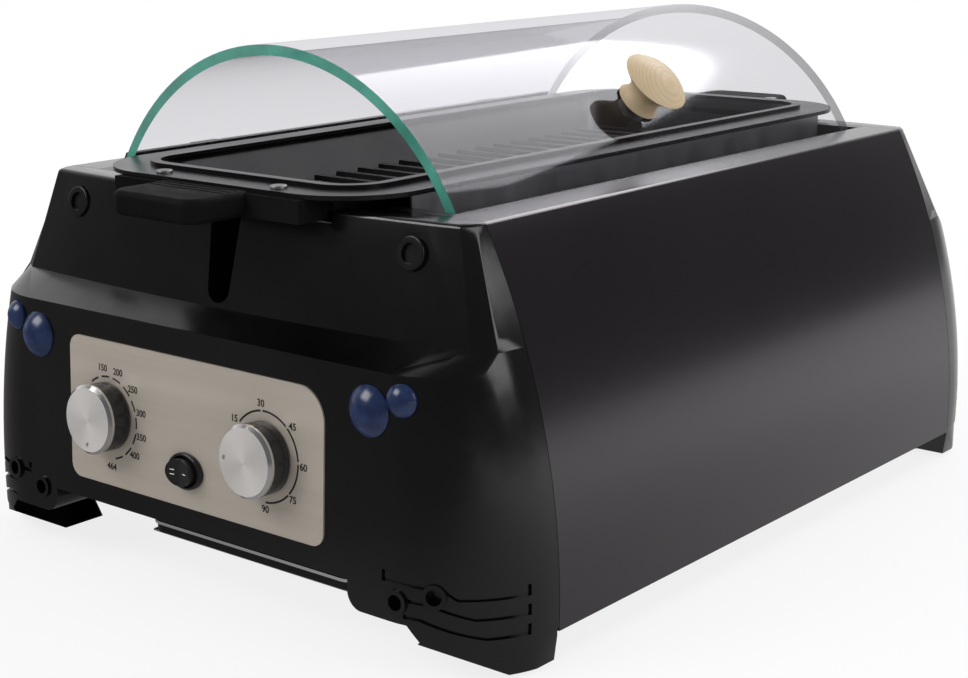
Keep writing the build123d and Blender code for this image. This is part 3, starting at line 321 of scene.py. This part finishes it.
def glass_edge(name, first, second, clear):
    """Ground edge of the glass in the colours given: its own green at the near end, painted shade at the far
    end.
    """
    finish = Finish(name)
    cloud = finish.noise(40.0, 3.0)
    return finish.surface(
        Base_Color=finish.tint(finish.spread(cloud, 0.0, 1.0), first, second),
        Roughness=finish.spread(cloud, 0.12, 0.22),
        Specular_IOR_Level=0.6,
        Alpha=finish.spread(cloud, clear, clear + 0.05),
    )


def soft_rubber(name, colour):
    """Dull rubber with a fine grain, paler where it is worn."""
    finish = Finish(name)
    grain = finish.noise(700.0, 3.0)
    worn = finish.noise(40.0, 3.0)
    paler = [channel * 1.5 + 0.01 for channel in colour]
    return finish.surface(
        Base_Color=finish.tint(finish.spread(worn, 0.0, 1.0), colour, paler),
        Roughness=finish.spread(grain, 0.62, 0.80),
        Normal=finish.bump(grain, 0.2, 0.0003),
    )


def heated_tube():
    """Sheath of a heating element, browned by heat."""
    finish = Finish("element_sheath")
    scale_marks = finish.noise(90.0, 4.0, 0.7)
    fine = finish.noise(600.0, 2.0)
    return finish.surface(
        Base_Color=finish.tint(
            finish.spread(scale_marks, 0.0, 1.0), (0.050, 0.042, 0.038), (0.120, 0.100, 0.088)),
        Metallic=0.6,
        Roughness=finish.spread(fine, 0.45, 0.65),
        Normal=finish.bump(fine, 0.2, 0.0002),
    )


def printed_ink(name, colour):
    """Ink that has faded a little."""
    finish = Finish(name)
    fade = finish.noise(500.0, 3.0)
    faded = [channel * 1.6 + 0.01 for channel in colour]
    return finish.surface(
        Base_Color=finish.tint(finish.spread(fade, 0.0, 0.6), colour, faded),
        Roughness=finish.spread(fade, 0.40, 0.55),
    )


casing_black = moulded_plastic("casing_plastic", (0.0012, 0.0012, 0.0013), 0.17, 0.5)
trim_black = moulded_plastic("cap_plastic", (0.0018, 0.0018, 0.0019), 0.26, 0.45)
handle_black = moulded_plastic("handle_plastic", (0.0040, 0.0040, 0.0041), 0.58, 0.05, 0.06)
switch_black = moulded_plastic("switch_plastic", (0.0085, 0.0085, 0.0090), 0.22, 0.45, 0.02)
knob_black = moulded_plastic("knob_plastic", (0.010, 0.010, 0.0103), 0.18, 0.6, 0.01)
inner_black = moulded_plastic("inner_plastic", (0.035, 0.032, 0.030), 0.5, 0.4, 0.1)
panel_paint = sheet_paint()
control_steel = brushed_steel("control_steel", (0.56, 0.50, 0.43), 0.36, (0.02, 1, 1), metal=0.3)
zinc_sheet = brushed_steel("zinc_sheet", (0.56, 0.57, 0.58), 0.42, (1, 1, 0.15), 0.06)
bright_steel = brushed_steel("bright_steel", (0.66, 0.66, 0.65), 0.25, (1, 1, 1), 0.04)
rivet_steel = brushed_steel("rivet_steel", (0.36, 0.36, 0.355), 0.42, (1, 1, 1), 0.04)
cap_edge = brushed_steel("cap_edge_steel", (0.80, 0.80, 0.79), 0.12, (1, 1, 1), 0.02)
# The drip tray is one steel in two copies: its face darkened as painted shade, its rim brightened as a
# painted highlight.
tray_face_painted_shade = brushed_steel("tray_steel", (0.040, 0.040, 0.042), 0.38, (1, 0.1, 1), 0.05)
tray_rim_painted_highlight = brushed_steel("tray_rim_steel_painted_highlight", (0.86, 0.86, 0.85), 0.30, (0.05, 1, 1), 0.03)
black_paint = moulded_plastic("black_paint", (0.0075, 0.0078, 0.0078), 0.30, 0.5)
coating = non_stick()
blue_lens = lens_blue()
beech = beech_wood()
glass_face = clear_glass()
glass_rim = glass_edge("lid_glass_edge", (0.035, 0.215, 0.162), (0.095, 0.400, 0.315), 0.94)
# Painted shade: the far end of the same glass edge is dark grey instead of green.
glass_far_rim_painted_shade = glass_edge("lid_glass_far_edge_painted_shade", (0.070, 0.075, 0.080), (0.110, 0.115, 0.120), 0.55)
foot_rubber = soft_rubber("foot_rubber", (0.018, 0.018, 0.018))
rest_rubber = soft_rubber("rest_rubber", (0.045, 0.045, 0.046))
element_sheath = heated_tube()
black_ink = printed_ink("black_ink", (0.007, 0.007, 0.008))
white_ink = printed_ink("white_ink", (0.62, 0.62, 0.62))
knob_caps = {knob: spun_aluminium_painted_sheen(knob + "_cap_aluminium_painted_sheen", across) for knob, across in KNOB_PLACES.items()}
panel_face = on_fascia(0, KNOB_LEVEL, 0).to_3x3().col[2]


# Pieces


def take_place(piece, body, replaced=()):
    """The body a piece rides and the nodes it stands for."""
    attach(piece, body)
    if replaced:
        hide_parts(*replaced)
    return piece


def link(name, mesh):
    piece = bpy.data.objects.new(name, mesh)
    scene.collection.objects.link(piece)
    return piece


def dress(node, *finishes, edge=0.0, crease=32.0, pick=None):
    """A piece on the node's own shape: joined faces, softened edges and its finish."""
    mesh = nodes[node].data.copy()
    if "custom_normal" in mesh.attributes:
        mesh.attributes.remove(mesh.attributes["custom_normal"])
    mesh.materials.clear()
    for finish in finishes:
        mesh.materials.append(finish)
    shape = bmesh.new()
    shape.from_mesh(mesh)
    bmesh.ops.remove_doubles(shape, verts=shape.verts, dist=JOIN_GAP * MM)
    bmesh.ops.dissolve_degenerate(shape, edges=shape.edges, dist=SLIVER * MM)
    bmesh.ops.dissolve_limit(shape, angle_limit=FLAT_ANGLE, verts=shape.verts, edges=shape.edges)
    limit = math.radians(crease)
    for face in shape.faces:
        face.smooth = True
        face.material_index = pick(face) if pick else 0
    for seam in shape.edges:
        seam.smooth = len(seam.link_faces) == 2 and seam.calc_face_angle(0.0) < limit
    shape.to_mesh(mesh)
    shape.free()
    piece = link("shown_" + node, mesh)
    if edge:
        soften = piece.modifiers.new("soft_edges", "BEVEL")
        soften.width = edge * MM
        soften.segments = 2
        soften.limit_method = "ANGLE"
        soften.angle_limit = limit
        soften.harden_normals = False
        soften.use_clamp_overlap = True
    return take_place(piece, body_of[node], [node])


def glass_finish(face):
    """The lid's front end is the green edge and its back end the dark one, in painted shade: the rest is
    clear.
    """
    middle = face.calc_center_median().y
    if abs(face.normal.y) < LOOKS_ALONG or abs(middle) < LID_END * MM:
        return 0
    return 1 if middle < 0 else 2


def coat(node, finish):
    """A finish on a node that keeps its own mesh."""
    nodes[node].data.materials.clear()
    nodes[node].data.materials.append(finish)


for node in ("front_casing", "rear_casing"):
    dress(node, casing_black)
for node in ("side_panel_right", "side_panel_left"):
    dress(node, panel_paint)
for node in ("front_screw_caps", "rear_screw_caps"):
    dress(node, trim_black)
for node in ("grill_handle_front", "grill_handle_rear"):
    dress(node, handle_black)
dress("grill_plate", coating)
dress("control_plate", control_steel)
dress("switch_housing", switch_black)
dress("switch_rocker", switch_black, edge=0.5)
dress("handle_rivets", rivet_steel)
dress("lid_knob", beech)
dress("lid_glass", glass_face, glass_rim, glass_far_rim_painted_shade, pick=glass_finish)
# Faces above the rim level take the painted highlight, the rest of the tray takes the painted shade.
dress("drip_tray", tray_face_painted_shade, tray_rim_painted_highlight,
      pick=lambda face: 1 if min(corner.co.z for corner in face.verts) > TRAY_RIM_LEVEL * MM else 0)
for knob in KNOB_PLACES:
    dress(knob + "_knob_body", knob_black)
    dress(knob + "_knob_cap", knob_caps[knob], cap_edge, crease=20.0,
          pick=lambda face: 0 if face.normal.dot(panel_face) > LOOKS_AHEAD else 1)
for side in ("left", "right"):
    for size in ("large", "small"):
        dress(f"lens_{size}_{side}", blue_lens)

plain_coats = {
    zinc_sheet: ("spit_cradle", "chamber_wall_right", "chamber_wall_left", "base_pan", "tray_runners",
                 "element_brackets", "motor_bracket", "lens_clips", "spindle_nuts"),
    bright_steel: ("casing_screws", "temp_spindle", "timer_spindle", "drive_socket", "lid_knob_screw",
                   "hinge_pins", "motor_body"),
    inner_black: ("thermostat_body", "timer_body", "terminal_block", "cord_gland"),
    black_paint: ("front_bulkhead", "rear_bulkhead", "hinge_channel", "hinge_brackets"),
    foot_rubber: ("foot_pads",),
    rest_rubber: ("lid_rest_strip", "lid_knob_washers"),
    element_sheath: ("heating_element_right", "heating_element_left"),
}
for finish, row in plain_coats.items():
    for node in row:
        coat(node, finish)


# Marks printed on the control panel


class Tree:
    """A Geometry Nodes tree with named inputs."""

    def __init__(self, name, inputs):
        self.tree = bpy.data.node_groups.new(name, "GeometryNodeTree")
        self.inputs = {}
        self.tree.interface.new_socket("Geometry", in_out="OUTPUT", socket_type="NodeSocketGeometry")
        for label, kind in inputs:
            self.inputs[label] = self.tree.interface.new_socket(label, in_out="INPUT", socket_type=kind)
        self.group = self.tree.nodes.new("NodeGroupInput")

    def given(self, label):
        return self.group.outputs[label]

    def add(self, kind, settings=None, sockets=None, out=0):
        node = self.tree.nodes.new(kind)
        for key, value in (settings or {}).items():
            setattr(node, key, value)
        for key, value in (sockets or {}).items():
            if isinstance(value, bpy.types.NodeSocket):
                self.tree.links.new(value, node.inputs[key])
            else:
                node.inputs[key].default_value = value
        return node.outputs[out]

    def maths(self, operation, first, second):
        return self.add("ShaderNodeMath", {"operation": operation}, {0: first, 1: second})

    def close(self, geometry):
        end = self.tree.nodes.new("NodeGroupOutput")
        self.tree.links.new(geometry, end.inputs[0])

    def mesh(self, name, values):
        """The tree's result with these values, as a plain mesh."""
        piece = link(name, bpy.data.meshes.new(name))
        modifier = piece.modifiers.new("made", "NODES")
        modifier.node_group = self.tree
        for label, value in values.items():
            modifier[self.inputs[label].identifier] = value
        bpy.context.view_layer.update()
        made = bpy.data.meshes.new_from_object(piece.evaluated_get(bpy.context.evaluated_depsgraph_get()))
        bpy.data.objects.remove(piece)
        return made


def dial_tree():
    """Dashes about a dial: arcs of a thin flat band, one to each step."""
    tree = Tree("dial_marks", [
        ("Radius", "NodeSocketFloat"), ("Start", "NodeSocketFloat"), ("Step", "NodeSocketFloat"),
        ("Steps", "NodeSocketInt"), ("Dash Share", "NodeSocketFloat"), ("Line", "NodeSocketFloat"),
        ("Ink", "NodeSocketMaterial")])
    dash = tree.maths("MULTIPLY", tree.given("Step"), tree.given("Dash Share"))
    half_gap = tree.maths("MULTIPLY", tree.maths("SUBTRACT", tree.given("Step"), dash), 0.5)
    arc = tree.add("GeometryNodeCurveArc", {"mode": "RADIUS"}, {
        "Resolution": 48, "Radius": tree.given("Radius"), "Start Angle": half_gap, "Sweep Angle": dash})
    band = tree.add("GeometryNodeCurvePrimitiveQuadrilateral", {}, {
        "Width": tree.given("Line"), "Height": PRINT_GAUGE * MM})
    stroke = tree.add("GeometryNodeCurveToMesh", {}, {"Curve": arc, "Profile Curve": band, "Fill Caps": True})
    index = tree.add("GeometryNodeInputIndex")
    angle = tree.maths("ADD", tree.given("Start"), tree.maths("MULTIPLY", index, tree.given("Step")))
    spots = tree.add("GeometryNodeMeshLine", {"mode": "OFFSET"}, {
        "Count": tree.given("Steps"), "Offset": (0, 0, 0)})
    row = tree.add("GeometryNodeInstanceOnPoints", {}, {
        "Points": spots, "Instance": stroke, "Rotation": tree.add("ShaderNodeCombineXYZ", {}, {2: angle})})
    solid = tree.add("GeometryNodeRealizeInstances", {}, {"Geometry": row})
    tree.close(tree.add("GeometryNodeSetMaterial", {}, {"Geometry": solid, "Material": tree.given("Ink")}))
    return tree


def flat_text(words, size, place):
    """Thin lettering as a mesh, centred on a place."""
    curve = bpy.data.curves.new("lettering", "FONT")
    curve.body = words
    curve.size = size * MM
    curve.align_x = "CENTER"
    curve.align_y = "CENTER"
    curve.extrude = PRINT_GAUGE / 2 * MM
    curve.offset = NUMBER_BOLD * MM
    holder = link("lettering", curve)
    bpy.context.view_layer.update()
    mesh = bpy.data.meshes.new_from_object(holder.evaluated_get(bpy.context.evaluated_depsgraph_get()))
    bpy.data.objects.remove(holder)
    mesh.transform(place)
    return mesh


def merge(name, meshes, finish):
    """One piece out of several meshes, all in one finish."""
    shape = bmesh.new()
    for mesh in meshes:
        shape.from_mesh(mesh)
    bmesh.ops.recalc_face_normals(shape, faces=shape.faces)
    mesh = bpy.data.meshes.new(name)
    shape.to_mesh(mesh)
    shape.free()
    for face in mesh.polygons:
        face.material_index = 0
    mesh.materials.clear()
    mesh.materials.append(finish)
    return link(name, mesh)


dial_marks = dial_tree()
dials = {
    # middle of the ring, numbers with their clock angles, and the ring's dashes
    "temp": ((-67.9, 94.9), {"150": 350, "200": 17, "250": 47, "300": 76, "350": 104, "400": 130, "464": 176},
             {"Radius": 23.7 * MM, "Start": math.radians(-80.8), "Step": math.radians(23.6), "Steps": 9,
              "Dash Share": 0.68}),
    "timer": ((58.7, 96.1), {"15": 306, "30": 354, "45": 46, "60": 91, "75": 133, "90": 179},
              {"Radius": 24.7 * MM, "Start": math.radians(-90), "Step": math.radians(46.4), "Steps": 5,
               "Dash Share": 0.93}),
}
for dial, ((across, level), numbers, marks) in dials.items():
    middle = on_fascia(across, level, PRINT_LIFT)
    rows = []
    for words, clock in numbers.items():
        angle = math.radians(clock)
        offset = Vector((math.sin(angle), math.cos(angle), 0)) * NUMBER_RADIUS * MM
        rows.append(flat_text(words, NUMBER_SIZE, middle @ Matrix.Translation(offset)))
    strokes = dial_marks.mesh(dial + "_marks", {"Line": RING_LINE * MM, "Ink": black_ink, **marks})
    strokes.transform(middle)
    take_place(merge(dial + "_dial_print", rows + [strokes], black_ink), "chassis")


def bar_mark(place):
    """One printed bar as a mesh."""
    shape = bmesh.new()
    bmesh.ops.create_cube(shape, size=1.0)
    bmesh.ops.scale(shape, vec=Vector((*BAR_SIZE, PRINT_GAUGE)) * MM, verts=shape.verts)
    mesh = bpy.data.meshes.new("bar")
    shape.to_mesh(mesh)
    shape.free()
    mesh.transform(place)
    return mesh


def rocker_marks():
    """One bar on the right of the rocker and two on the left, lying on its sloped halves."""
    slope = math.atan2(ROCKER_END - ROCKER_MIDDLE, ROCKER_HALF_WIDTH)
    switch = on_fascia(SWITCH_PLACE, SWITCH_LEVEL, 0)
    rows = []
    for across, level in BAR_PLACES:
        out = ROCKER_MIDDLE + abs(across) * math.tan(slope) + PRINT_GAUGE / 2
        tilt = Matrix.Rotation(-math.copysign(slope, across), 4, "Y")
        seat = Matrix.Translation(Vector((across, level, out)) * MM)
        rows.append(bar_mark(switch @ seat @ tilt))
    return merge("rocker_print", rows, white_ink)


take_place(rocker_marks(), "rocker")

# Studio

CAMERA_PLACE = (0.7317, -0.9133, 0.3857)
CAMERA_TURN = {"yaw": 39.522, "pitch": 13.887, "roll": -0.484}
CAMERA_LENS = 68.0
CAMERA_SENSOR = 36.0
FLOOR_RADIUS = 9.0
# Seen in a mirror, the room is brightest this way, and the floor brightens along this way.
WALL_WAY = (-0.72, 0.69, 0.0)
FLOOR_WAY = (0.62, 0.78, 0.0)
# place, target, width, height and power of each soft box
SOFT_BOXES = {
    "key_light": ((-1.1, -1.7, 1.6), (0, 0, 0.12), 1.4, 1.0, 26.0),
    "top_light": ((0.15, 1.5, 1.7), (0, 0, 0.2), 2.0, 0.9, 26.0),
    "side_light": ((2.1, 0.2, 1.1), (0, 0, 0.1), 1.0, 1.2, 12.0),
}


def set_camera():
    """The photo's own view, from the place and turn that fit its straight edges."""
    yaw, pitch, roll = [math.radians(CAMERA_TURN[way]) for way in ("yaw", "pitch", "roll")]
    ahead = Vector((-math.sin(yaw) * math.cos(pitch), math.cos(yaw) * math.cos(pitch), -math.sin(pitch)))
    level = ahead.cross(Vector((0, 0, 1))).normalized()
    upright = level.cross(ahead)
    right = level * math.cos(roll) + upright * math.sin(roll)
    up = right.cross(ahead)
    data = bpy.data.cameras.new("camera")
    data.sensor_width = CAMERA_SENSOR
    data.lens = CAMERA_LENS
    camera = bpy.data.objects.new("camera", data)
    turn = Matrix((right, up, -ahead)).transposed().to_4x4()
    camera.matrix_world = Matrix.Translation(CAMERA_PLACE) @ turn
    scene.collection.objects.link(camera)
    scene.camera = camera


def seen_rays(finish):
    """One for rays from the camera, off a mirror or through glass, and zero for the rest."""
    kinds = ("Is Camera Ray", "Is Glossy Ray", "Is Transmission Ray")
    camera, mirror, glass = [finish.add("ShaderNodeLightPath", out=kind) for kind in kinds]
    return finish.add("ShaderNodeMath", {"operation": "ADD", "use_clamp": True}, {
        0: camera + mirror, 1: glass})


def set_world():
    """White to the camera. A mirror sees a dark room, with a bright wall behind the part and to its left."""
    scene.world = bpy.data.worlds.new("studio_world")
    finish = Finish("studio_world", scene.world)
    seen = seen_rays(finish)
    lit = finish.add("ShaderNodeBackground", {}, {"Color": (1.0, 1.0, 1.0, 1.0), "Strength": 0.45})
    wall = finish.along(finish.add("ShaderNodeTexCoord", out="Generated"), WALL_WAY)
    mirrored = finish.add("ShaderNodeLightPath", out="Is Glossy Ray")
    share = 1 - (1 - finish.spread(wall, 0.0, 1.0, 0.30, 0.85)) * mirrored
    white = finish.add("ShaderNodeBackground", {}, {
        "Color": finish.tint(share, (0.12, 0.12, 0.125), (1.0, 1.0, 1.0)), "Strength": 1.0})
    mixed = finish.add("ShaderNodeMixShader", {}, {0: seen, 1: lit, 2: white})
    finish.add("ShaderNodeOutputWorld", {}, {"Surface": mixed})


def set_floor():
    """White paper that keeps a light shadow. In a mirror it darkens toward the front and the left."""
    shape = bmesh.new()
    bmesh.ops.create_circle(shape, cap_ends=True, segments=96, radius=FLOOR_RADIUS)
    mesh = bpy.data.meshes.new("studio_floor")
    shape.to_mesh(mesh)
    shape.free()
    finish = Finish("studio_floor_white")
    place = finish.add("ShaderNodeTexCoord", out="Object")
    away = finish.add("ShaderNodeVectorMath", {"operation": "LENGTH"}, {0: place}, out="Value")
    across = finish.along(place, FLOOR_WAY)
    far = finish.spread(away, 0.82, 1.0, 0.35, 0.95)
    mirrored = finish.add("ShaderNodeLightPath", out="Is Glossy Ray")
    tone = 1 - (1 - finish.spread(across, 0.0, 1.0, -0.40, 0.75)) * mirrored
    paper = finish.add("ShaderNodeBsdfDiffuse", {}, {"Color": finish.tint(
        finish.noise(3.0, 2.0), (0.90, 0.90, 0.90), (0.92, 0.92, 0.92))})
    white = finish.add("ShaderNodeEmission", {}, {
        "Color": finish.tint(tone, (0.16, 0.15, 0.15), (1.0, 1.0, 1.0)), "Strength": 1.0})
    share = far * seen_rays(finish)
    share = share + (1 - share) * mirrored
    mesh.materials.append(finish.close(finish.add("ShaderNodeMixShader", {}, {0: share, 1: paper, 2: white})))
    floor = link("studio_floor", mesh)


def soft_box(name, place, target, width, height, power):
    """An area light aimed at a target."""
    data = bpy.data.lights.new(name, "AREA")
    data.shape = "RECTANGLE"
    data.size = width
    data.size_y = height
    data.energy = power
    lamp = bpy.data.objects.new(name, data)
    aim = Vector(target) - Vector(place)
    lamp.matrix_world = Matrix.Translation(place) @ aim.to_track_quat("-Z", "Y").to_matrix().to_4x4()
    scene.collection.objects.link(lamp)


set_camera()
set_world()
set_floor()
for lamp, values in SOFT_BOXES.items():
    soft_box(lamp, *values)
